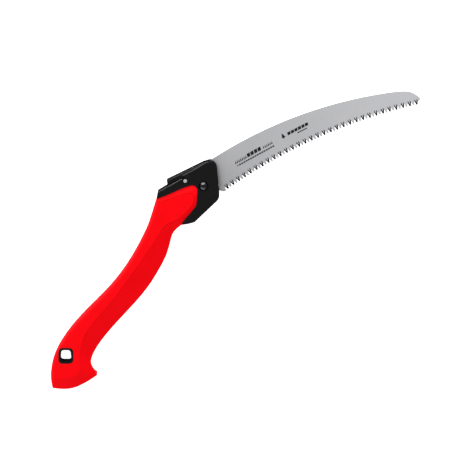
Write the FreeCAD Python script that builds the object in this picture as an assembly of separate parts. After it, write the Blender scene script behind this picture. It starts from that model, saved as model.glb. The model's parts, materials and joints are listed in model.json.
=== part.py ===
import FreeCAD, Part
import math
import os

# Folding pruning saw, lying flat, blade open. Millimetres, +Z up.
# Drawn around the blade's pivot (the pivot is x = 0, y = 0 and the blade's mid-plane is z = 0).
# +X runs from the butt of the handle to the blade, +Y is the spine side, the teeth are on -Y.
# At the end every piece is moved so that the middle of the whole saw's box, bottom face, is the origin.

HALF = 11.0               # half the handle's thickness
FOLD = 146.8              # how far the blade turns to close, degrees
BLADE_T = 1.3             # blade thickness
WASHER_T = 0.8
CHEEK_IN = 1.5            # inner face of each frame half, from the mid-plane
CORE_OUT = 7.5            # outer face of the frame under the red grips
CORE_INSET = 3.5          # how far the frame lies inside the grip's edge

SPINE_C = (-16.8, -489.4)
SPINE_R = 509.4
TIP_C = (-12.45, -655.8)  # circle through the tooth tips
TIP_R = 635.6
TOOTH_COUNT = 62
TOOTH_DEPTH = 6.8         # depth of a gullet in one plane
TOOTH_LAND = 0.2          # width of a tooth's tip in one plane
TOOTH_FLEAM = 1.2         # how far a bevel leans, sideways per mm of thickness
FIRST_TIP_X = 16.2
LAST_TIP_X = 252.7

TANG_R = 17.0
BORE_R = 4.06
SLEEVE_R = 4.0
BOLT_R = 2.95
BOLT_HEAD_R = 4.3
BOLT_RECESS_R = 5.7
RECESS_FLOOR = 8.2
STOP_R = 12.0             # stop pin, distance from the pivot
STOP_ANGLE = 200.0
STOP_PIN_R = 1.5
STOP_SLOT_HALF = 1.75
LOCK_ANGLE = 73.0         # where the lock tooth meets the tang
LOCK_DEPTH = 1.75

LEVER_PIN = (-13.0, 18.0)
LEVER_PIN_R = 2.15
LEVER_HALF = 5.9          # half the width of the lever's hub
LEVER_CAVITY_HALF = 6.1
LEVER_TOP_HALF = 8.2      # half the width of its top
LEVER_TOP_CAVITY = 8.9
LEVER_ROUND = 1.4         # radius along the top's two long edges
HEAD_CHAMFER = 0.7
SPRING_FLOOR = 14.4
SPRING_T = 0.5

EYELET = (-248.9, -58.1)
EYELET_TURN = -38.0
SLOT_CLEAR = 1.6          # gap between the folded teeth and the bottom of the slot
SLOT_REACH = 273.6        # the slot ends this far from the pivot

SCREWS = ((-62.0, 4.0), (-124.0, -25.0), (-196.0, -43.5), (-266.5, -83.6))
SCREW_HEAD_R = 3.0
SCREW_R = 1.6

BACK = ((-52.15, 21.95), (-62.95, 14.45), (-78.97, 3.58), (-94.9, -4.65), (-118.8, -14.9),
        (-142.7, -22.5), (-166.65, -27.35), (-190.65, -30.35), (-214.75, -34.1), (-238.9, -40.45),
        (-256.6, -48.15), (-270, -57.8), (-278.55, -67.3), (-284.9, -78.6))
BUTT = ((-284.9, -78.6), (-278.45, -84.8), (-271.1, -90.5), (-263.6, -94.2), (-255.1, -96.4),
        (-246, -97.75), (-234.8, -98.7))
FINGER = ((-233.4, -96.9), (-234.4, -89.4), (-232.3, -83.7), (-227.5, -79), (-220.5, -74.9),
          (-213.45, -72.05), (-197.45, -67.55), (-165.45, -61.65), (-133.4, -55.75), (-117.4, -51.3),
          (-101.4, -45.2), (-85.3, -37.75), (-77.25, -32.55), (-69.35, -26.45), (-61.6, -21.4),
          (-54.5, -20), (-48, -19.9))

HEAD_LOW = ((-48, -19.9), (-43.85, -22.35), (-38.6, -24.9), (-34, -26.7))
HEAD_NOSE = ((2.15, -23.1), (4.7, -22.1), (7, -20.5), (9.1, -17.8), (10.85, -15.5), (12.1, -13.6),
             (13.4, -10.7), (15.6, -8))
HEAD_FRONT = ((25.8, 8), (27.3, 11.3), (27.3, 14.3), (27, 16.2), (25.2, 17.7), (23.4, 18.8),
              (21.6, 19.7), (20.4, 20))
CHEEK_TOP = ((19.3, 20.5), (9.1, 21.9), (-1.3, 23.3), (-11.6, 25.3), (-14.4, 22.8), (-29.3, 24.9),
             (-33.4, 25.8), (-45.9, 27.4), (-52.15, 21.95))

RED_EDGE = ((-52.15, 21.95), (-40.9, 18.5), (-28.5, 15.5), (-16.4, 12.2), (-11.2, 10.0))
RED_NOSE = ((-11.2, 10.0), (-8.6, 8.2), (-7.7, 5.4), (-7.9, 2.6), (-9.2, 0.1))
RED_LOW = ((-9.2, 0.1), (-18.4, -10.3), (-21.2, -12.6), (-24.8, -13.8), (-34.5, -15.8), (-44.7, -17.8),
           (-48.0, -19.9))

# The neck that joins the frame under the grips to the head.
NECK = ((-62.0, -16.6), (-46.0, -15.8), (-46.0, 18.0), (-52.0, 16.4), (-62.0, 9.4))

# The crease of the grip's long facet, each with the point on the edge that it slopes down to,
# and the height there.
FACET = ((-14.5, -1.5, -7.5, -5.5, 9.9), (-19.5, -6.9, -17.5, -13.5, 9.9),
         (-24.2, -9.5, -25.0, -14.6, 9.9), (-31.5, -10.7, -32.4, -16.0, 9.8),
         (-39.5, -11.6, -40.6, -17.2, 9.6), (-46.6, -12.0, -48.6, -19.9, 9.2),
         (-53.0, -10.7, -55.6, -20.2, 8.7), (-60.0, -9.2, -63.4, -22.4, 8.3),
         (-68.0, -9.8, -73.0, -28.8, 8.0), (-77.5, -13.6, -83.5, -36.2, 7.7),
         (-88.0, -17.6, -94.6, -41.8, 7.5), (-103.0, -21.9, -109.0, -48.0, 7.4),
         (-120.0, -27.3, -125.6, -53.4, 7.4), (-140.8, -33.6, -145.4, -57.8, 7.4),
         (-157.9, -38.4, -161.6, -60.8, 7.4), (-174.0, -42.2, -177.4, -63.5, 7.4),
         (-192.7, -46.0, -196.2, -67.1, 7.5), (-211.0, -50.6, -212.5, -71.6, 7.7),
         (-224.6, -57.6, -223.2, -76.2, 8.0), (-236.0, -68.0, -232.8, -86.6, 8.3),
         (-244.5, -78.6, -236.5, -97.6, 8.5), (-253.8, -83.0, -252.5, -96.6, 8.7),
         (-264.7, -79.2, -270.0, -90.2, 8.9), (-274.6, -71.6, -283.5, -78.2, 9.1),
         (-278.5, -62.0, -292.0, -62.0, 9.1))


def vec(point, z=0.0):
    return FreeCAD.Vector(point[0], point[1], z)


def polar(radius, degrees):
    a = math.radians(degrees)
    return (radius * math.cos(a), radius * math.sin(a))


def spline(points, z=0.0):
    curve = Part.BSplineCurve()
    curve.interpolate([vec(p, z) for p in points])
    return curve.toShape()


def lines(points, z=0.0):
    return [Part.makeLine(vec(a, z), vec(b, z)) for a, b in zip(points, points[1:])]


def arc(center, radius, x_start, x_end):
    # the upper part of a circle, from one x to another
    def on_circle(x):
        return (x, center[1] + math.sqrt(radius ** 2 - (x - center[0]) ** 2))
    middle = on_circle((x_start + x_end) / 2.0)
    curve = Part.Arc(vec(on_circle(x_start)), vec(middle), vec(on_circle(x_end)))
    return curve.toShape(), on_circle(x_start), on_circle(x_end)


def disc(radius, z0, z1, at=(0.0, 0.0)):
    low, high = min(z0, z1), max(z0, z1)
    return Part.makeCylinder(radius, high - low, vec(at, low))


def prism(face, z0, z1):
    low, high = min(z0, z1), max(z0, z1)
    solid = face.copy()
    solid.translate(FreeCAD.Vector(0, 0, low))
    return solid.extrude(FreeCAD.Vector(0, 0, high - low))


def polygon(points):
    closed = list(points) + [points[0]]
    return Part.Face(Part.Wire(lines(closed)))


def one_solid(shape):
    shape = shape.removeSplitter()
    solids = sorted(shape.Solids, key=lambda s: s.Volume)
    return solids[-1]


def mirrored(shape):
    return shape.mirror(FreeCAD.Vector(0, 0, 0), FreeCAD.Vector(0, 0, 1))


def round_edges(shape, chosen, radius):
    # rounds the chosen edges, each on its own if the whole set can't be done at once
    edges = [e for e in shape.Edges if chosen(e)]
    if not edges:
        return shape
    try:
        done = shape.makeFillet(radius, edges)
        if done.isValid() and done.Volume > 0:
            return done
    except Exception:
        pass
    print("fillet left out", radius, len(edges))
    return shape


def head_face():
    edges = [spline(HEAD_LOW), Part.makeLine(vec(HEAD_LOW[-1]), vec(HEAD_NOSE[0])), spline(HEAD_NOSE)]
    edges.append(Part.makeLine(vec(HEAD_NOSE[-1]), vec(HEAD_FRONT[0])))
    edges.append(spline(HEAD_FRONT))
    edges += lines((HEAD_FRONT[-1],) + CHEEK_TOP)
    edges.append(Part.makeLine(vec(CHEEK_TOP[-1]), vec(HEAD_LOW[0])))
    return Part.Face(Part.Wire(Part.__sortEdges__(edges)))


def grip_face():
    edges = [spline(BACK), spline(BUTT), spline(FINGER)]
    edges.append(Part.makeLine(vec(BUTT[-1]), vec(FINGER[0])))
    edges.append(Part.makeLine(vec(FINGER[-1]), vec(BACK[0])))
    return Part.Face(Part.Wire(Part.__sortEdges__(edges)))


def red_top_face():
    edges = lines(RED_EDGE) + [spline(RED_NOSE)] + lines(RED_LOW)
    edges.append(Part.makeLine(vec(RED_LOW[-1]), vec(RED_EDGE[0])))
    return Part.Face(Part.Wire(Part.__sortEdges__(edges)))


def eyelet_face(width, height, corner, narrower=0.0):
    w, h, n = width / 2.0, height / 2.0, narrower / 2.0
    face = polygon(((-w, -h), (w, -h), (w - n, h), (-w + n, h)))
    solid = face.extrude(FreeCAD.Vector(0, 0, 1))
    uprights = [e for e in solid.Edges if abs(e.Vertexes[0].Z - e.Vertexes[-1].Z) > 0.5]
    solid = solid.makeFillet(corner, uprights)
    face = [f for f in solid.Faces if abs(f.CenterOfMass.z) < 1e-6][0]
    face.rotate(FreeCAD.Vector(0, 0, 0), FreeCAD.Vector(0, 0, 1), EYELET_TURN)
    face.translate(vec(EYELET))
    return face


def fold_center():
    radius = math.hypot(TIP_C[0], TIP_C[1])
    return polar(radius, math.degrees(math.atan2(TIP_C[1], TIP_C[0])) - FOLD)


def blade_slot():
    # everything the blade passes through while it turns, as wide as the gap between the frames
    room = disc(SLOT_REACH, -CHEEK_IN, CHEEK_IN)
    return room.cut(disc(TIP_R - SLOT_CLEAR, -20, 20, fold_center()))


def lever_cavity():
    # a deep narrow pocket for the hub and a shallower wide one for the lever's top
    deep = polygon(((19.4, 45.0), (19.4, 14.6), (-5.5, 14.6), (-8.0, 12.6), (-18.5, 12.6),
                    (-19.5, SPRING_FLOOR), (-34.4, SPRING_FLOOR), (-34.4, 45.0)))
    wide = polygon(((19.4, 45.0), (19.4, 15.6), (-6.0, 18.3), (-34.4, 18.9), (-34.4, 45.0)))
    shape = prism(deep, -LEVER_CAVITY_HALF, LEVER_CAVITY_HALF)
    return shape.fuse(prism(wide, -LEVER_TOP_CAVITY, LEVER_TOP_CAVITY))


def facet_cutter():
    # the room above the grip's sloping facet
    inner = []
    outer = []
    for x, y, ex, ey, ez in FACET:
        run = 1.6
        inner.append(FreeCAD.Vector(x - 0.12 * (ex - x), y - 0.12 * (ey - y), HALF + 0.12 * (HALF - ez)))
        outer.append(FreeCAD.Vector(x + run * (ex - x), y + run * (ey - y), HALF + run * (ez - HALF)))
    steps = [float(i) for i in range(len(FACET))]
    low = Part.BSplineCurve()
    low.interpolate(Points=inner, Parameters=steps)
    high = Part.BSplineCurve()
    high.interpolate(Points=outer, Parameters=steps)
    surface = Part.makeRuledSurface(low.toShape(), high.toShape())
    return surface.extrude(FreeCAD.Vector(0, 0, 12))


def plane_cutter(a, b, edge_point, edge_z):
    # the room above a slope that starts on the line a-b at full height
    # and is at edge_z over edge_point
    pa, pb, pe = vec(a, HALF), vec(b, HALF), vec(edge_point, edge_z)
    along = (pb - pa).normalize()
    down = pe - pa
    down = (down - along * down.dot(along)).normalize()
    start = pa - along * 60 - down * 2
    face = Part.Face(Part.makePolygon([start, start + along * 160, start + along * 160 + down * 22,
                                       start + down * 22, start]))
    return face.extrude(FreeCAD.Vector(0, 0, 12))


def grip_half():
    outer = prism(grip_face(), 0, HALF)
    outer = round_edges(outer, lambda e: on_back(e), 4.6)
    outer = outer.fuse(prism(red_top_face(), CORE_OUT, HALF))
    outer = outer.cut(plane_cutter((-52.4, 16.4), (-14.8, 4.6), (-28.5, 15.5), 9.8))
    outer = outer.cut(facet_cutter())
    return outer


def on_back(edge):
    box = edge.BoundBox
    return box.ZMin > HALF - 0.01 and box.XLength > 150 and box.YMax > 10


def core_face():
    # the grip's outline moved inwards, redrawn with plain curves
    inset = grip_face().makeOffset2D(-CORE_INSET, 0, False, False, False)
    edges = []
    for edge in inset.OuterWire.OrderedEdges:
        count = max(2, int(edge.Length / 7.0))
        points = edge.discretize(count)
        edges.append(spline([(p.x, p.y) for p in points]) if count > 2 else Part.makeLine(points[0], points[-1]))
    return Part.Face(Part.Wire(Part.__sortEdges__(edges)))


def chamfered_head():
    # the head's slab with a small chamfer round its outer face, except where the grip covers it
    head = prism(head_face(), 0, HALF)
    covered = (CHEEK_TOP[-1][0] + HEAD_LOW[0][0]) / 2.0
    edges = [e for e in head.Edges if e.BoundBox.ZMin > HALF - 0.01 and e.BoundBox.Center.x > covered + 1.0]
    return head.makeChamfer(HEAD_CHAMFER, edges)


def frame_half():
    core = prism(core_face(), 0, CORE_OUT).fuse(prism(polygon(NECK), 0, CORE_OUT))
    head = chamfered_head()
    pocket = prism(red_top_face(), CORE_OUT, HALF + 5)
    body = core.fuse(head.cut(pocket))
    return body


def bolt_holes(body, side):
    body = body.cut(disc(SLEEVE_R, 0, side * 4.5))
    body = body.cut(disc(BOLT_R, 0, side * HALF))
    body = body.cut(disc(BOLT_RECESS_R, side * RECESS_FLOOR, side * (HALF + 5)))
    body = body.cut(disc(STOP_PIN_R, 0, side * 7.0, polar(STOP_R, STOP_ANGLE)))
    body = body.cut(disc(LEVER_PIN_R, 0, side * (HALF + 5), LEVER_PIN))
    return body


def pin_recess_left():
    # a round recess with an open notch that runs up and out through the cheek's edge
    recess = disc(3.4, 9.9, HALF + 5, LEVER_PIN)
    slot = Part.makeBox(2.8, 16.0, 10.0, FreeCAD.Vector(-1.4, 0, 9.9))
    notch = Part.makeBox(2.8, 16.0, 10.0, FreeCAD.Vector(-1.4, 2.6, LEVER_CAVITY_HALF))
    slot = slot.fuse(notch)
    slot.translate(FreeCAD.Vector(LEVER_PIN[0], LEVER_PIN[1], 0))
    return recess.fuse(slot)


def screw_holes(body, side):
    for x, y in SCREWS:
        if side < 0:
            body = body.cut(disc(SCREW_R, 0, -HALF - 5, (x, y)))
        else:
            body = body.cut(disc(SCREW_R, 0, 6.0, (x, y)))
    return body


def left_frame():
    body = frame_half()
    body = body.cut(blade_slot()).cut(lever_cavity())
    body = bolt_holes(body, 1)
    body = body.cut(pin_recess_left())
    body = body.cut(prism(eyelet_face(17.5, 18.7, 5.0), -20, 20))
    body = screw_holes(body, 1)
    return one_solid(body)


def right_frame():
    body = mirrored(frame_half())
    body = body.cut(blade_slot()).cut(lever_cavity())
    body = bolt_holes(body, -1)
    body = body.cut(disc(4.4, -9.7, -HALF - 5, LEVER_PIN))
    body = body.cut(prism(eyelet_face(17.5, 18.7, 5.0), -20, 20))
    body = screw_holes(body, -1)
    return one_solid(body)


def left_grip():
    body = grip_half()
    body = body.cut(frame_half()).cut(blade_slot()).cut(lever_cavity())
    body = body.cut(prism(eyelet_face(17.5, 18.7, 5.0), -20, 20))
    return one_solid(body)


def right_grip():
    body = mirrored(grip_half())
    body = body.cut(mirrored(frame_half())).cut(blade_slot()).cut(lever_cavity())
    body = body.cut(prism(eyelet_face(17.5, 18.7, 5.0), -20, 20))
    for point in SCREWS:
        body = body.cut(disc(SCREW_HEAD_R, -CORE_OUT + 0.5, -HALF - 5, point))
    return one_solid(body)


def lanyard_eyelet():
    ring = prism(eyelet_face(17.5, 18.7, 5.0), -HALF + 0.2, HALF - 0.2)
    hole = prism(eyelet_face(13.2, 13.6, 3.3, 2.4), -20, 20)
    return one_solid(ring.cut(hole))


def handle_screw(at):
    x, y = at
    head = disc(SCREW_HEAD_R, -CORE_OUT, -9.9, at)
    shank = disc(SCREW_R, 5.8, -CORE_OUT, at)
    socket = Part.makeBox(4.0, 0.8, 1.2, FreeCAD.Vector(x - 2.0, y - 0.4, -10.2))
    cross = Part.makeBox(0.8, 4.0, 1.2, FreeCAD.Vector(x - 0.4, y - 2.0, -10.2))
    return one_solid(head.fuse(shank).cut(socket).cut(cross))


def pivot_bolt():
    shank = disc(BOLT_R, -10.3, RECESS_FLOOR)
    dome_r = 11.0
    head = disc(BOLT_HEAD_R, RECESS_FLOOR, HALF + 2)
    ball = Part.makeSphere(dome_r, FreeCAD.Vector(0, 0, 10.6 - dome_r))
    head = head.common(ball)
    body = shank.fuse(head)
    for turn in (20.0, 110.0):
        arm = Part.makeBox(5.6, 1.1, 3.0, FreeCAD.Vector(-2.8, -0.55, 9.2))
        arm.rotate(FreeCAD.Vector(0, 0, 0), FreeCAD.Vector(0, 0, 1), turn)
        body = body.cut(arm)
    return one_solid(body)


def pivot_sleeve():
    return disc(SLEEVE_R, -4.5, 4.5).cut(disc(BOLT_R, -5, 5))


def pivot_nut():
    points = [polar(5.3, 60.0 * i + 15.0) for i in range(6)]
    nut = prism(polygon(points), -9.0, -10.8)
    return one_solid(nut.cut(disc(BOLT_R, -5, -12)))


def pivot_spring_washer():
    return disc(5.2, -RECESS_FLOOR, -9.0).cut(disc(BOLT_R, -5, -12))


def thrust_washer(side):
    low = side * (BLADE_T / 2.0 + 0.05)
    high = side * CHEEK_IN
    return disc(9.4, low, high).cut(disc(SLEEVE_R, -5, 5))


def stop_pin():
    return disc(STOP_PIN_R, -7.0, 7.0, polar(STOP_R, STOP_ANGLE))


def lever_pin():
    pin = disc(LEVER_PIN_R, -10.9, 10.6, LEVER_PIN)
    groove = disc(LEVER_PIN_R + 1, -9.8, -10.4, LEVER_PIN).cut(disc(1.6, -8, -12, LEVER_PIN))
    return one_solid(pin.cut(groove))


def lever_pin_clip():
    ring = disc(3.8, -9.8, -10.4, LEVER_PIN).cut(disc(1.6, -8, -12, LEVER_PIN))
    gap = Part.makeBox(2.2, 6.0, 4.0, FreeCAD.Vector(LEVER_PIN[0] - 1.1, LEVER_PIN[1], -11.0))
    return one_solid(ring.cut(gap))


def lock_lever():
    tooth = [polar(22.0, LOCK_ANGLE - 3.2), polar(TANG_R + 0.32, LOCK_ANGLE - 2.6),
             polar(TANG_R + 0.32, LOCK_ANGLE + 2.6), polar(22.0, LOCK_ANGLE + 3.2)]
    bar = polygon(((-31.9, 27.5), (-29.6, 31.5), (18.0, 21.6), (18.0, 18.5), (-6.0, 20.6), (-14.5, 23.0)))
    web = polygon(((-33.0, 25.5), (-31.0, 29.0), (17.5, 19.6), (17.5, 18.6), (-6.0, 19.6), (-9.0, 16.0),
                   (-17.0, 16.0), (-19.0, 20.6), (-32.4, 20.6)))
    body = prism(bar, -LEVER_TOP_HALF, LEVER_TOP_HALF)
    long_edges = [e for e in body.Edges if e.Length > 45 and e.BoundBox.YMax > 30 and e.BoundBox.ZLength < 0.01]
    body = body.makeFillet(LEVER_ROUND, long_edges)
    body = body.fuse(prism(web, -LEVER_HALF, LEVER_HALF))
    body = body.fuse(disc(4.5, -LEVER_HALF, LEVER_HALF, LEVER_PIN))
    body = body.fuse(prism(polygon(tooth), -2.6, 2.6))
    return one_solid(body.cut(disc(LEVER_PIN_R + 0.05, -20, 20, LEVER_PIN)))


def lever_spring():
    # a hairpin of spring strip that pushes the thumb end of the lever up
    y = SPRING_FLOOR
    t = SPRING_T
    outer = ((-32.6, y), (-23.0, y), (-22.0, y + 0.4), (-21.7, y + 1.3), (-22.2, y + 2.2), (-30.4, y + 6.0))
    inner = ((-30.6, y + 6.0 - 1.1 * t), (-22.6, y + 1.8), (-22.3, y + 1.3), (-22.5, y + 0.8),
             (-23.1, y + t), (-32.6, y + t))
    return prism(polygon(outer + inner), -3.5, 3.5)


def gullet(angle, lean):
    # a V cut between two teeth that leans towards the tooth whose bevels face up
    slope = (chord_pitch() - TOOTH_LAND) / 2.0 / TOOTH_DEPTH
    wide = slope * (TOOTH_DEPTH + 0.6)
    reach = BLADE_T / 2.0 + 0.3
    points = ((-wide, -0.6), (wide, -0.6), (0.14, TOOTH_DEPTH), (-0.14, TOOTH_DEPTH))
    shift = lean * TOOTH_FLEAM * reach
    low = [FreeCAD.Vector(px - shift, TIP_R + py, -reach) for px, py in points]
    face = Part.Face(Part.makePolygon(low + [low[0]]))
    cutter = face.extrude(FreeCAD.Vector(2 * shift, 0, 2 * reach))
    cutter.rotate(FreeCAD.Vector(0, 0, 0), FreeCAD.Vector(0, 0, 1), angle)
    cutter.translate(vec(TIP_C))
    return cutter


def tip_angle(x):
    return math.degrees(math.asin((x - TIP_C[0]) / TIP_R))


def chord_pitch():
    turn = (tip_angle(LAST_TIP_X) - tip_angle(FIRST_TIP_X)) / (TOOTH_COUNT - 1)
    return math.radians(turn) * TIP_R


def tooth_gullets():
    # every second tooth is bevelled on the upper side, the others on the lower side
    start = tip_angle(FIRST_TIP_X)
    pitch = math.degrees(chord_pitch() / TIP_R)
    cutters = []
    for i in range(TOOTH_COUNT):
        lean = 1 if i % 2 == 0 else -1
        cutters.append(gullet(-(start + pitch * (i + 0.5)), lean))
    return cutters


def blade():
    top_arc, spine_end, spine_start = arc(SPINE_C, SPINE_R, 243.0, 24.5)
    tooth_arc, heel, tooth_end = arc(TIP_C, TIP_R, 14.4, 254.6)
    point = (261.0, -75.2)
    nose = (point, (259.9, -71.4), (257.9, -65.4), (254.4, -60.0), (249.2, -55.5), spine_end)
    edges = [top_arc, tooth_arc, spline(nose)]
    edges += lines((tooth_end, (256.8, -76.3), point))
    low_start = polar(TANG_R, -57.0)
    edges.append(Part.makeLine(vec(low_start), vec((12.2, -18.2))))
    edges.append(Part.makeLine(vec((12.2, -18.2)), vec(heel)))
    high_start = polar(TANG_R, 61.0)
    edges += lines((high_start, (19.8, 15.2), spine_start))
    around = Part.Arc(vec(high_start), vec(polar(TANG_R, 182.0)), vec(low_start)).toShape()
    edges.append(around)
    face = Part.Face(Part.Wire(Part.__sortEdges__(edges)))
    body = prism(face, -BLADE_T / 2.0, BLADE_T / 2.0)
    body = body.cut(disc(BORE_R, -5, 5))
    body = body.cut(stop_slot())
    for angle in (LOCK_ANGLE, LOCK_ANGLE + FOLD):
        body = body.cut(lock_notch(angle))
    gullets = tooth_gullets()
    body = body.cut(Part.makeCompound(gullets[0::2]))
    body = body.cut(Part.makeCompound(gullets[1::2]))
    return one_solid(body)


def stop_slot():
    # an arc-shaped slot that the stop pin runs in, from the open to the closed position
    ring = disc(STOP_R + STOP_SLOT_HALF, -5, 5).cut(disc(STOP_R - STOP_SLOT_HALF, -5, 5))
    span = FOLD
    sector = [(0.0, 0.0)] + [polar(40.0, STOP_ANGLE + span * i / 8.0) for i in range(9)]
    slot = ring.common(prism(polygon(sector), -5, 5))
    for angle in (STOP_ANGLE, STOP_ANGLE + span):
        slot = slot.fuse(disc(STOP_SLOT_HALF, -5, 5, polar(STOP_R, angle)))
    return slot


def lock_notch(angle):
    points = (polar(22.0, angle - 5.4), polar(TANG_R - LOCK_DEPTH, angle - 4.0),
              polar(TANG_R - LOCK_DEPTH, angle + 5.5), polar(22.0, angle + 7.0))
    return prism(polygon(points), -5, 5)


def build():
    parts = {
        "left_frame": left_frame(),
        "right_frame": right_frame(),
        "left_grip": left_grip(),
        "right_grip": right_grip(),
        "lanyard_eyelet": lanyard_eyelet(),
        "pivot_bolt": pivot_bolt(),
        "pivot_sleeve": pivot_sleeve(),
        "pivot_nut": pivot_nut(),
        "pivot_spring_washer": pivot_spring_washer(),
        "left_washer": thrust_washer(1),
        "right_washer": thrust_washer(-1),
        "stop_pin": stop_pin(),
        "lever_pin": lever_pin(),
        "lever_pin_clip": lever_pin_clip(),
        "lever_spring": lever_spring(),
        "lock_lever": lock_lever(),
        "blade": blade(),
    }
    for number, point in enumerate(SCREWS, 1):
        parts["handle_screw_%d" % number] = handle_screw(point)
    return parts


def export(parts):
    os.makedirs("parts", exist_ok=True)
    whole = FreeCAD.BoundBox()
    for shape in parts.values():
        whole.add(shape.optimalBoundingBox(False))
    move = FreeCAD.Vector(-whole.Center.x, -whole.Center.y, -whole.ZMin)
    for name, shape in parts.items():
        placed = shape.copy()
        placed.translate(move)
        placed.exportStep("parts/%s.step" % name)
        print(name, "valid", placed.isValid(), "solids", len(placed.Solids), "volume %.1f" % placed.Volume)
    print("size %.2f %.2f %.2f" % (whole.XLength, whole.YLength, whole.ZLength))
    print("pivot at %.3f %.3f %.3f" % (move.x, move.y, move.z))


export(build())
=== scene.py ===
# A folding pruning saw, lying open on its side: materials, signs on the blade, floor, light and camera.

import json
import math

import bpy
from mathutils import Matrix, Vector


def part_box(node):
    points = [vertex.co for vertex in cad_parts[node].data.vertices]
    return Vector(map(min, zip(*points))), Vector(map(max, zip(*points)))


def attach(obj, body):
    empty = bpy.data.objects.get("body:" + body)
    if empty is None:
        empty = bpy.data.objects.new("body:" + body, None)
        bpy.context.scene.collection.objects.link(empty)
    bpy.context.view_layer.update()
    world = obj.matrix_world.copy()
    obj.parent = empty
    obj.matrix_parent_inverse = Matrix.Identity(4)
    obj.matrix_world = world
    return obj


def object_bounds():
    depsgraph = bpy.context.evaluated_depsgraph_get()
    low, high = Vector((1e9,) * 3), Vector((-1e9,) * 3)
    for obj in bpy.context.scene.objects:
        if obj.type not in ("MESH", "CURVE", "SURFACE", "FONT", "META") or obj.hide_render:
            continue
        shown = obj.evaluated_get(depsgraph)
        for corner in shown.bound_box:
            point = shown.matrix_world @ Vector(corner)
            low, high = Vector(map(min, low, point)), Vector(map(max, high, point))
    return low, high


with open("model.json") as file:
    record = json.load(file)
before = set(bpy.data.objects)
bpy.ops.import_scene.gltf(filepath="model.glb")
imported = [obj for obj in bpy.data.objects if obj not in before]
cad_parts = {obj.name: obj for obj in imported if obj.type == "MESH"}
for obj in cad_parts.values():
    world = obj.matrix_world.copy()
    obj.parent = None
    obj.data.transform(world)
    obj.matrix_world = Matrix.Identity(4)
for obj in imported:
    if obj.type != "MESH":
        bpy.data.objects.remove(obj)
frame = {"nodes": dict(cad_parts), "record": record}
CAD_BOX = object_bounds()
NODES = frame["nodes"]

MM = 0.001


def centre(node):
    low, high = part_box(node)
    return Vector([(a + b) / 2.0 for a, b in zip(low, high)])


PIVOT = centre("pivot_sleeve")


def at(x, y, z=0.0):
    """A place given in millimetres from the middle of the blade's pivot."""
    return Vector((PIVOT.x + x * MM, PIVOT.y + y * MM, PIVOT.z + z * MM))


# Heights in millimetres above the middle of the saw's thickness.
GRIP_FACE = (CAD_BOX[1][2] - PIVOT.z) / MM
BLADE_FACE = (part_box("blade")[1][2] - PIVOT.z) / MM
BOLT_RECESS_FLOOR = 8.2
PIN_RECESS_FLOOR = 9.9

# How far the flat pieces lie above the face they are on, in millimetres.
CREASE_LIFT = 0.012
# The rings of painted shade in the recesses lie this far up.
PAINTED_SHADE_LIFT = 0.015
INK_LIFT = 0.02

# ---------------------------------------------------------------- materials


def put(socket, value):
    """Gives a socket a number, a colour without alpha, or another node's output."""
    if hasattr(value, "is_output"):
        value.id_data.links.new(value, socket)
    elif isinstance(value, tuple):
        socket.default_value = (*value, 1.0)
    else:
        socket.default_value = value


def fill_ramp(ramp, stops):
    """Sets a colour ramp's stops, given as (place, colour)."""
    while len(ramp.elements) < len(stops):
        ramp.elements.new(0.5)
    for element, (place, colour) in zip(ramp.elements, stops):
        element.position = place
        element.color = (*colour, 1.0)


class Nodes:
    """A material's node tree with short ways to add and join nodes."""

    def __init__(self, name):
        self.material = bpy.data.materials.new(name)
        self.material.use_nodes = True
        self.tree = self.material.node_tree
        self.shader = self.tree.nodes["Principled BSDF"]
        self.coords = self.add("ShaderNodeTexCoord")

    def add(self, kind, **values):
        node = self.tree.nodes.new(kind)
        for key, value in values.items():
            setattr(node, key, value)
        return node

    def join(self, source, target):
        self.tree.links.new(source, target)

    def set(self, **values):
        for key, value in values.items():
            self.shader.inputs[key.replace("_", " ")].default_value = value

    def axis(self, kind, letter):
        """One component of the Object coordinates or of the Normal."""
        node = self.add("ShaderNodeSeparateXYZ")
        self.join(self.coords.outputs[kind], node.inputs[0])
        return node.outputs[letter]

    def stretched(self, scale):
        node = self.add("ShaderNodeMapping")
        node.inputs["Scale"].default_value = scale
        self.join(self.coords.outputs["Object"], node.inputs["Vector"])
        return node.outputs["Vector"]

    def noise(self, scale, detail=3.0, rough=0.5, vector=None):
        node = self.add("ShaderNodeTexNoise")
        node.inputs["Scale"].default_value = scale
        node.inputs["Detail"].default_value = detail
        node.inputs["Roughness"].default_value = rough
        self.join(vector or self.coords.outputs["Object"], node.inputs["Vector"])
        return node.outputs["Fac"]

    def spread(self, value, low, high, start=0.3, end=0.7):
        """Maps a value from start to end to a number from low to high."""
        node = self.add("ShaderNodeMapRange")
        node.inputs["From Min"].default_value = start
        node.inputs["From Max"].default_value = end
        node.inputs["To Min"].default_value = low
        node.inputs["To Max"].default_value = high
        self.join(value, node.inputs["Value"])
        return node.outputs["Result"]

    def colours(self, value, stops):
        node = self.add("ShaderNodeValToRGB")
        fill_ramp(node.color_ramp, stops)
        self.join(value, node.inputs["Fac"])
        return node.outputs["Color"]

    def mix(self, factor, a, b):
        node = self.add("ShaderNodeMix", data_type="RGBA")
        put(node.inputs["Factor"], factor)
        put(node.inputs["A"], a)
        put(node.inputs["B"], b)
        return node.outputs["Result"]

    def math(self, operation, a, b=0.0, clamp=False):
        node = self.add("ShaderNodeMath", operation=operation, use_clamp=clamp)
        put(node.inputs[0], a)
        put(node.inputs[1], b)
        return node.outputs[0]

    def bump(self, height, strength, distance):
        node = self.add("ShaderNodeBump")
        node.inputs["Strength"].default_value = strength
        node.inputs["Distance"].default_value = distance
        self.join(height, node.inputs["Height"])
        self.join(node.outputs["Normal"], self.shader.inputs["Normal"])

    def colour_from(self, value):
        self.join(value, self.shader.inputs["Base Color"])

    def roughness_from(self, value):
        self.join(value, self.shader.inputs["Roughness"])


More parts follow.
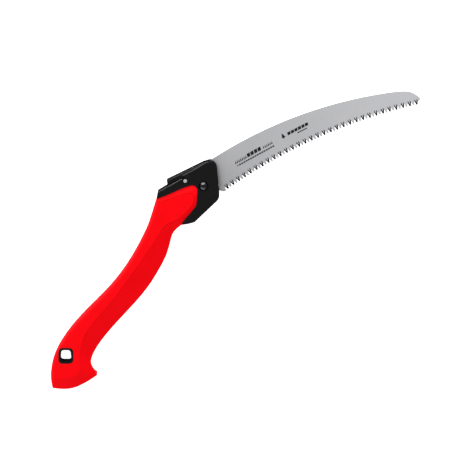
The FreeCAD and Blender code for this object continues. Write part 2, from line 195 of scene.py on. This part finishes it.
def red_plastic():
    """Vivid moulded plastic with a fine spark-eroded texture."""
    m = Nodes("grip_red")
    mottled = m.noise(38.0, 4.0)
    grain = m.noise(2600.0, 2.0)
    m.colour_from(m.colours(mottled, ((0.25, (0.90, 0.0006, 0.0036)),
                                      (0.75, (0.97, 0.0010, 0.0052)))))
    m.roughness_from(m.spread(m.noise(420.0, 3.0), 0.42, 0.54))
    m.set(Specular_IOR_Level=0.05)
    m.bump(grain, 0.10, 0.00006)
    return m.material


def black_plastic(name, level):
    """Glass-filled nylon: near black, satin, faint flow marks and fine grain."""
    m = Nodes(name)
    flow = m.noise(55.0, 5.0, 0.6)
    grain = m.noise(1900.0, 3.0)
    m.colour_from(m.colours(flow, ((0.3, (level, level, level * 1.06)),
                                   (0.7, (level * 1.3, level * 1.3, level * 1.4)))))
    m.roughness_from(m.spread(m.noise(500.0, 3.0), 0.27, 0.36))
    m.set(Specular_IOR_Level=0.22)
    m.bump(grain, 0.16, 0.00007)
    return m.material


HEEL_X, POINT_X = 0.03, 0.27      # the blade's steel gets lighter between these places, metres
FACE_NORMAL = 0.97                # surfaces less level than this are the dark bevels (hardening colour and painted shade), down to the upright edges, which are as bright as the faces
EDGE_NORMAL = 0.2                 # down to the upright edges, which are as bright as the faces


def blade_steel():
    """Satin ground plate: fine cross grinding, a soft cloudiness and dark tooth bevels, both hardening
    colour and painted shade.
    """
    m = Nodes("blade_steel")
    along = m.spread(m.axis("Object", "X"), 0.0, 1.0, HEEL_X, POINT_X)
    streaks = m.noise(1.0, 4.0, 0.65, m.stretched((2400.0, 160.0, 160.0)))
    cloud = m.noise(16.0, 3.0)
    near = m.colours(cloud, ((0.3, (0.425, 0.427, 0.442)), (0.7, (0.460, 0.462, 0.478))))
    far = m.colours(cloud, ((0.3, (0.600, 0.603, 0.622)), (0.7, (0.645, 0.648, 0.668))))
    ground = m.mix(m.spread(streaks, 0.0, 0.30), m.mix(along, near, far), (0.37, 0.372, 0.386))
    level = m.math("ABSOLUTE", m.axis("Normal", "Z"))
    sloping = m.math("LESS_THAN", level, FACE_NORMAL)
    upright = m.math("LESS_THAN", level, EDGE_NORMAL)
    bevel = m.math("SUBTRACT", sloping, upright, True)
    # Sloping bevels get near-black: hardening colour and painted shade for the dark they reflect.
    m.colour_from(m.mix(bevel, ground, (0.006, 0.006, 0.007)))
    m.roughness_from(m.spread(streaks, 0.36, 0.50))
    m.join(m.math("MULTIPLY", m.math("SUBTRACT", 1.0, bevel), 0.28), m.shader.inputs["Metallic"])
    m.bump(streaks, 0.08, 0.00003)
    return m.material


def steel(name, colour, rough, metallic=1.0):
    """Small turned or plated metal parts."""
    m = Nodes(name)
    marks = m.noise(900.0, 3.0, 0.6)
    dark = tuple(c * 0.75 for c in colour)
    m.colour_from(m.mix(m.spread(m.noise(260.0, 4.0), 0.0, 0.6), colour, dark))
    m.roughness_from(m.spread(marks, rough * 0.8, rough * 1.3))
    m.set(Metallic=metallic)
    m.bump(marks, 0.08, 0.00003)
    return m.material


def nylon():
    """Natural nylon washers."""
    m = Nodes("washer_nylon")
    m.colour_from(m.colours(m.noise(300.0), ((0.3, (0.60, 0.58, 0.52)), (0.7, (0.68, 0.66, 0.6)))))
    m.roughness_from(m.spread(m.noise(900.0), 0.38, 0.5))
    return m.material


def crease_red():
    """The grip's plastic where it folds over at a crease: the same colour in shade."""
    m = Nodes("crease_red")
    m.colour_from(m.colours(m.noise(300.0), ((0.3, (0.52, 0.0004, 0.0022)),
                                             (0.7, (0.62, 0.0006, 0.0030)))))
    m.roughness_from(m.spread(m.noise(700.0), 0.55, 0.7))
    m.set(Specular_IOR_Level=0.03)
    return m.material


def painted_shade_look():
    """Painted shade: near-black matte colour for the floor of a recess, where shade falls."""
    m = Nodes("recess_painted_shade")
    m.colour_from(m.colours(m.noise(900.0), ((0.3, (0.0008, 0.0008, 0.0008)),
                                             (0.8, (0.0024, 0.0023, 0.0022)))))
    m.roughness_from(m.spread(m.noise(1500.0), 0.7, 0.9))
    m.set(Specular_IOR_Level=0.02)
    return m.material


def ink():
    """Black pad-printed ink."""
    m = Nodes("blade_ink")
    worn = m.noise(3200.0, 3.0)
    m.colour_from(m.colours(worn, ((0.35, (0.006, 0.006, 0.007)), (0.75, (0.016, 0.016, 0.017)))))
    m.roughness_from(m.spread(worn, 0.5, 0.65))
    m.set(Specular_IOR_Level=0.12)
    return m.material


LOOKS = {
    "grip_red": red_plastic(),
    "frame_black": black_plastic("frame_black", 0.0036),
    "eyelet_black": black_plastic("eyelet_black", 0.0035),
    "blade_steel": blade_steel(),
    "small_steel": steel("small_steel", (0.80, 0.80, 0.79), 0.34, 0.8),
    "screw_steel": steel("screw_steel", (0.55, 0.55, 0.53), 0.34),
    "bolt_black": steel("bolt_black", (0.09, 0.09, 0.095), 0.12),
    "lever_black": black_plastic("lever_black", 0.0035),
    "washer_nylon": nylon(),
}


def dress_nodes():
    slots = {row["node"]: row["material_slot"] for row in frame["record"]["subparts"]}
    for name, obj in NODES.items():
        look = LOOKS[slots[name]]
        for place in obj.material_slots:
            place.material = look
        if not obj.material_slots:
            obj.data.materials.append(look)


# ---------------------------------------------------------------- creases and recesses


def flat_piece(name, outlines, height, look, body):
    """Thin flat shapes in one mesh. Outlines are lists of (x, y) in millimetres from the pivot."""
    mesh = bpy.data.meshes.new(name)
    points, faces = [], []
    for outline in outlines:
        faces.append(list(range(len(points), len(points) + len(outline))))
        points += [tuple(at(x, y, height)) for x, y in outline]
    mesh.from_pydata(points, [], faces)
    mesh.materials.append(look)
    piece = bpy.data.objects.new(name, mesh)
    bpy.context.collection.objects.link(piece)
    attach(piece, body)


# The line along which the grip's face folds over, from the head to the butt, millimetres.
CREASE = ((-54.6, 17.8), (-36.0, 11.2), (-22.5, 6.5), (-18.2, 4.5), (-16.3, 2.2), (-16.1, -1.0),
          (-17.5, -4.4), (-20.3, -7.4), (-24.2, -9.5), (-31.5, -10.7), (-39.5, -11.6), (-46.6, -12.0),
          (-53.0, -10.7), (-60.0, -9.2), (-68.0, -9.8), (-77.5, -13.6), (-88.0, -17.6), (-103.0, -21.9),
          (-120.0, -27.3), (-140.8, -33.6), (-157.9, -38.4), (-174.0, -42.2), (-192.7, -46.0),
          (-211.0, -50.6), (-224.6, -57.6), (-236.0, -68.0), (-244.5, -78.6))
CREASE_HALF = 0.24            # half the width of the crease line, millimetres
CREASE_FADE = 12.0            # it narrows over this many points at the butt
CREASE_END = 0.1              # to this part of its width


def smooth(points, parts=5):
    """Points of a smooth curve through the given points."""
    ends = [points[0]] + list(points) + [points[-1]]
    made = []
    for a, b, c, d in zip(ends, ends[1:], ends[2:], ends[3:]):
        for i in range(parts):
            t = i / parts
            made.append(tuple(0.5 * (2 * q + (r - p) * t + (2 * p - 5 * q + 4 * r - s) * t * t
                                     + (3 * q - p - 3 * r + s) * t ** 3)
                              for p, q, r, s in zip(a, b, c, d)))
    return made + [points[-1]]


def crease_lines():
    """The fine line where each grip's face folds over, on both sides of the saw."""
    line = [Vector(p) for p in smooth(CREASE)]
    last = len(line) - 1
    left, right = [], []
    for i, p in enumerate(line):
        along = (line[min(i + 1, last)] - line[max(i - 1, 0)]).normalized()
        half = CREASE_HALF * min(1.0, (last - i) / CREASE_FADE + CREASE_END)
        across = Vector((-along.y, along.x)) * half
        left.append(tuple(p + across))
        right.append(tuple(p - across))
    quads = [[a, b, c, d] for a, b, c, d in zip(left, right, right[1:], left[1:])]
    look = crease_red()
    height = GRIP_FACE + CREASE_LIFT
    flat_piece("left_grip_crease", quads, height, look, "handle")
    flat_piece("right_grip_crease", quads, -height, look, "handle")


RING_STEPS = 12               # sides of half a ring


def half_rings(middle, inner, outer):
    """A flat ring about a place, as two halves."""
    shapes = []
    for start in (0, RING_STEPS):
        turns = [math.radians(180 / RING_STEPS * (start + i)) for i in range(RING_STEPS + 1)]
        shape = [(middle[0] + outer * math.cos(a), middle[1] + outer * math.sin(a)) for a in turns]
        shape += [(middle[0] + inner * math.cos(a), middle[1] + inner * math.sin(a))
                  for a in reversed(turns)]
        shapes.append(shape)
    return shapes


def recess_painted_shade():
    """Painted shade as flat rings on the floors of the two round recesses in the head, between the
    metal and the wall.
    """
    look = painted_shade_look()
    pin = (centre("lever_pin") - PIVOT) / MM
    # Flat rings of painted shade on the recess floors, around the pivot bolt and around the lever pin.
    flat_piece("pivot_recess_painted_shade", half_rings((0.0, 0.0), 4.4, 5.65),
               BOLT_RECESS_FLOOR + PAINTED_SHADE_LIFT, look, "handle")
    flat_piece("pin_recess_painted_shade", half_rings((pin.x, pin.y), 2.2, 3.3),
               PIN_RECESS_FLOOR + PAINTED_SHADE_LIFT, look, "handle")


# ---------------------------------------------------------------- signs on the blade

# Where each sign starts, in millimetres from the pivot, and how far it is turned, in degrees.
LARGE_SIGN = ((44.0, -3.3), -9.0)
SMALL_SIGN = ((43.8, -7.0), -9.0)
TREE_SIGN = ((107.4, -14.5), -10.7)

TREE_HEIGHT = 6.2
TOOTH_WIDTH = 0.82            # width of a tooth in a row of them, as a part of the pitch


def placed(outline, origin, degrees):
    """An outline moved to a place on the blade and turned."""
    a = math.radians(degrees)
    ca, sa = math.cos(a), math.sin(a)
    return [(origin[0] + x * ca - y * sa, origin[1] + x * sa + y * ca) for x, y in outline]


def tooth_row(x0, count, pitch, y0, y1):
    """A row of little upright teeth, the sign for the cutting edge."""
    wide = TOOTH_WIDTH
    return [[(x0 + i * pitch, y0), (x0 + (i + wide) * pitch, y0), (x0 + (i + wide) * pitch, y1)]
            for i in range(count)]


def bar_row(x0, x1, count, pitch, y0, y1, lean=0.0):
    """A row of bars. The first one is from x0 to x1."""
    return [[(x0 + pitch * i, y0), (x1 + pitch * i, y0),
             (x1 + pitch * i + lean, y1), (x0 + pitch * i + lean, y1)] for i in range(count)]


def tree(height):
    """A little fir tree, the sign for green wood."""
    right = [(0.09, 0.0), (0.09, 0.16), (0.42, 0.16), (0.20, 0.42),
             (0.33, 0.42), (0.13, 0.68), (0.24, 0.68)]
    outline = right + [(0.0, 1.0)] + [(-x, y) for x, y in reversed(right)]
    return [[(x * height, y * height) for x, y in outline]]


def blade_marks():
    """Plain signs in place of lettering: what the saw cuts and which way it cuts."""
    height = BLADE_FACE + INK_LIFT
    look = ink()
    large = tooth_row(0.0, 7, 2.25, 0.0, 3.8)
    large += bar_row(16.3, 20.2, 4, 4.7, 0.0, 4.2, 1.1)
    large += tooth_row(37.0, 6, 2.2, 0.2, 3.6)
    arrow_head = [(0.0, 0.9), (2.1, 0.0), (2.1, 1.9)]
    small = [arrow_head] + bar_row(3.1, 5.45, 16, 2.95, 0.0, 1.65)
    wood = tree(TREE_HEIGHT)
    wood += bar_row(5.2, 9.0, 6, 4.55, 1.2, 4.6, 0.9)
    wood += bar_row(16.6, 18.7, 5, 2.5, -1.9, -0.6)
    for name, shapes, (origin, degrees) in (("cut_sign_large", large, LARGE_SIGN),
                                            ("cut_sign_small", small, SMALL_SIGN),
                                            ("tree_sign", wood, TREE_SIGN)):
        outlines = [placed(shape, origin, degrees) for shape in shapes]
        flat_piece(name, outlines, height, look, "blade")


# ---------------------------------------------------------------- floor and light

FLOOR_SIZE = 6.0
FLOOR_Z = -0.0004

# How bright the surroundings are, by how far up one looks: (height, brightness).
SURROUNDINGS = ((0.0, 0.02), (0.02, 0.5), (0.30, 0.5), (0.80, 0.18))


def floor():
    bpy.ops.mesh.primitive_plane_add(size=FLOOR_SIZE, location=(0, 0, FLOOR_Z))
    plane = bpy.context.object
    plane.name = "floor"
    look = Nodes("floor")
    look.set(Base_Color=(0.93, 0.93, 0.93, 1.0), Roughness=0.9, Specular_IOR_Level=0.1,
             Emission_Color=(1.0, 1.0, 1.0, 1.0), Emission_Strength=1.0)
    plane.data.materials.append(look.material)
    plane.visible_glossy = False


def surroundings():
    world = bpy.data.worlds.new("studio")
    bpy.context.scene.world = world
    world.use_nodes = True
    nodes, links = world.node_tree.nodes, world.node_tree.links
    coords = nodes.new("ShaderNodeTexCoord")
    parts = nodes.new("ShaderNodeSeparateXYZ")
    ramp = nodes.new("ShaderNodeValToRGB")
    fill_ramp(ramp.color_ramp, [(height, (level, level, level)) for height, level in SURROUNDINGS])
    back = nodes["Background"]
    links.new(coords.outputs["Generated"], parts.inputs[0])
    links.new(parts.outputs["Z"], ramp.inputs["Fac"])
    links.new(ramp.outputs["Color"], back.inputs["Color"])
    back.inputs["Strength"].default_value = 1.0


def area_light(name, place, power, width, height=None):
    """A flat light aimed at the origin, square unless it has a height."""
    data = bpy.data.lights.new(name, "AREA")
    data.size = width
    if height:
        data.shape = "RECTANGLE"
        data.size_y = height
    data.energy = power
    lamp = bpy.data.objects.new(name, data)
    bpy.context.collection.objects.link(lamp)
    lamp.location = place
    lamp.rotation_euler = (-Vector(place)).to_track_quat("-Z", "Y").to_euler()


def lights():
    area_light("key", (0.5, 1.25, 1.9), 38.0, 1.8)
    area_light("fill", (-1.3, -0.9, 1.6), 13.0, 1.8)
    area_light("rim", (-0.3, 2.4, 0.40), 60.0, 3.0, 0.3)


# ---------------------------------------------------------------- camera

TURN = math.radians(38.0)     # the saw's length lies this far above the picture's horizontal
TILT = math.radians(8.0)      # the camera leans this far from straight above the saw
DISTANCE = 7.0
FIELD = 0.522                 # width of the view at the saw
SENSOR = 36.0
AIM_RIGHT, AIM_DOWN = 24.8, 45.2      # from the pivot to the middle of the view, millimetres


def camera():
    right = Vector((math.cos(TURN), -math.sin(TURN), 0.0))
    over = Vector((math.sin(TURN), math.cos(TURN), 0.0))
    back = Vector((0, 0, 1)) * math.cos(TILT) + over * math.sin(TILT)
    up = back.cross(right)
    target = at(0, 0, GRIP_FACE) + right * AIM_RIGHT * MM - over * AIM_DOWN * MM
    data = bpy.data.cameras.new("camera")
    data.sensor_width = SENSOR
    data.lens = SENSOR * DISTANCE / FIELD
    data.clip_start = 0.05
    eye = bpy.data.objects.new("camera", data)
    bpy.context.collection.objects.link(eye)
    turned = Matrix((right, up, back)).transposed().to_4x4()
    eye.matrix_world = Matrix.Translation(target + back * DISTANCE) @ turned
    bpy.context.scene.camera = eye


dress_nodes()
crease_lines()
recess_painted_shade()
blade_marks()
floor()
surroundings()
lights()
camera()
bpy.context.scene.view_settings.view_transform = "Standard"
